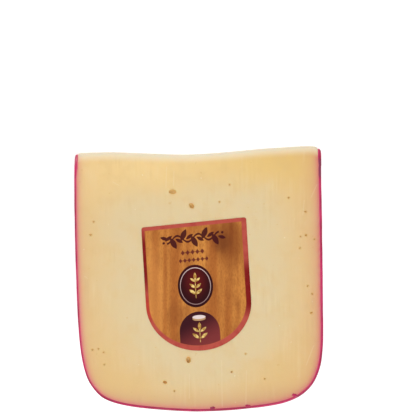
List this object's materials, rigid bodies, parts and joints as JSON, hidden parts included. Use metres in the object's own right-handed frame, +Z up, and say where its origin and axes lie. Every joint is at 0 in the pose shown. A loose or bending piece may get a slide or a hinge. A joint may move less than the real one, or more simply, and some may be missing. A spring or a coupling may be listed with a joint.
{
  "type": "cheese wedge",
  "caption": "Wedge of semi-hard cheese cut from a round wheel, with a thin magenta coat on the wheel's sides and rim and a paper label on a cut face.",
  "frame": {"origin": "on the surface that the wedge lies on, under the middle of its bounding box", "axes": "+Z up from the plain cut face that the wedge lies on; +Y from the coated rim to the tip; +X along the wheel's axis, from one flat side of the wheel to the other. The labelled cut face slopes down to the tip"},
  "size_m": [0.109, 0.1166, 0.0597],
  "materials": {
    "paste": "moist and satin, pale straw yellow, paler near the label and pinker beside the coat",
    "coat": "glossy thin magenta coat",
    "label": "glossy printed paper with a wood-grain print, a burgundy border and plain ornaments"
  },
  "bodies": {
    "root": {"cheese_paste": "paste", "wax_rind": "coat", "face_label": "label"}
  },
  "joints": []
}
